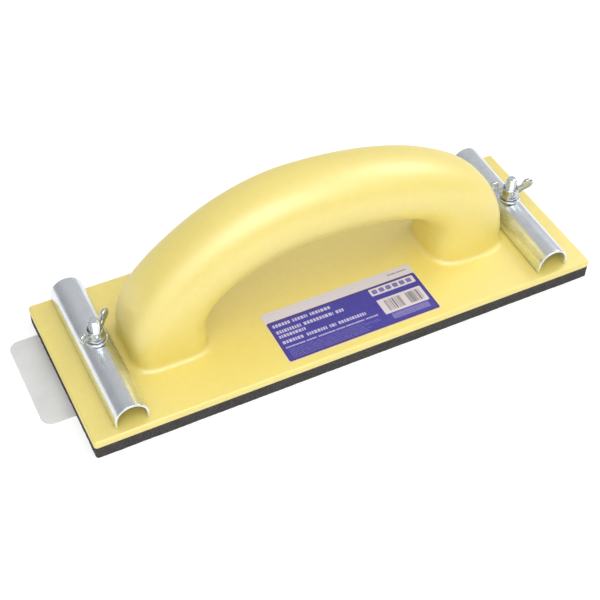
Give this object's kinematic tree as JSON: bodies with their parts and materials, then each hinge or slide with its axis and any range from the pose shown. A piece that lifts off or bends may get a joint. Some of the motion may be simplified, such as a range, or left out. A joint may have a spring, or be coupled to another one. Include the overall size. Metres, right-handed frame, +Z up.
{
  "type": "hand sanding block",
  "caption": "Drywall hand sander: flat plastic plate with an arched grip, foam pad below, and half-round clamp bars with wing nuts that hold the sandpaper ends.",
  "frame": {"origin": "centre of the foam pad's sanding face", "axes": "+X along the plate's length, towards the steep side of the grip; +Y across it, away from the label; +Z up, out of the grip"},
  "size_m": [0.2483, 0.0826, 0.076],
  "materials": {
    "yellow_plastic": "soft satin, moulded",
    "black_foam": "matte closed-cell foam",
    "zinc_plated_steel": "bright zinc plating",
    "printed_label": "printed film, satin",
    "frosted_plastic": "frosted, translucent"
  },
  "bodies": {
    "sander": {"sander_body": "yellow_plastic", "foam_pad": "black_foam", "left_bolt": "zinc_plated_steel", "right_bolt": "zinc_plated_steel", "label": "printed_label", "hang_tab": "frosted_plastic"},
    "left_washer": {"left_washer": "zinc_plated_steel"},
    "left_clamp_bar": {"left_clamp_bar": "zinc_plated_steel"},
    "left_wing_nut": {"left_wing_nut": "zinc_plated_steel"},
    "right_washer": {"right_washer": "zinc_plated_steel"},
    "right_clamp_bar": {"right_clamp_bar": "zinc_plated_steel"},
    "right_wing_nut": {"right_wing_nut": "zinc_plated_steel"}
  },
  "joints": [
    {"name": "left_clamp_lift", "type": "slide", "parent": "sander", "child": "left_washer", "axis": [0, 0, 1], "range_m": [0, 0.004]},
    {"name": "left_bar_swivel", "type": "hinge", "parent": "left_washer", "child": "left_clamp_bar", "pos_m": [-0.1, 0.001, 0.0202], "axis": [0, 0, 1], "range_deg": [-8, 8]},
    {"name": "left_nut_spin", "type": "hinge", "parent": "left_washer", "child": "left_wing_nut", "pos_m": [-0.1, 0.001, 0.0217], "axis": [0, 0, 1], "range_deg": [0, 1800]},
    {"name": "right_clamp_lift", "type": "slide", "parent": "sander", "child": "right_washer", "axis": [0, 0, 1], "range_m": [0, 0.004]},
    {"name": "right_bar_swivel", "type": "hinge", "parent": "right_washer", "child": "right_clamp_bar", "pos_m": [0.1, 0.001, 0.0202], "axis": [0, 0, 1], "range_deg": [-8, 8]},
    {"name": "right_nut_spin", "type": "hinge", "parent": "right_washer", "child": "right_wing_nut", "pos_m": [0.1, 0.001, 0.0217], "axis": [0, 0, 1], "range_deg": [0, 1800]}
  ],
  "couplings": [
    {"joint": "left_nut_spin", "follows": "left_clamp_lift", "rad_per_m": 7853.9},
    {"joint": "right_nut_spin", "follows": "right_clamp_lift", "rad_per_m": 7853.9}
  ]
}
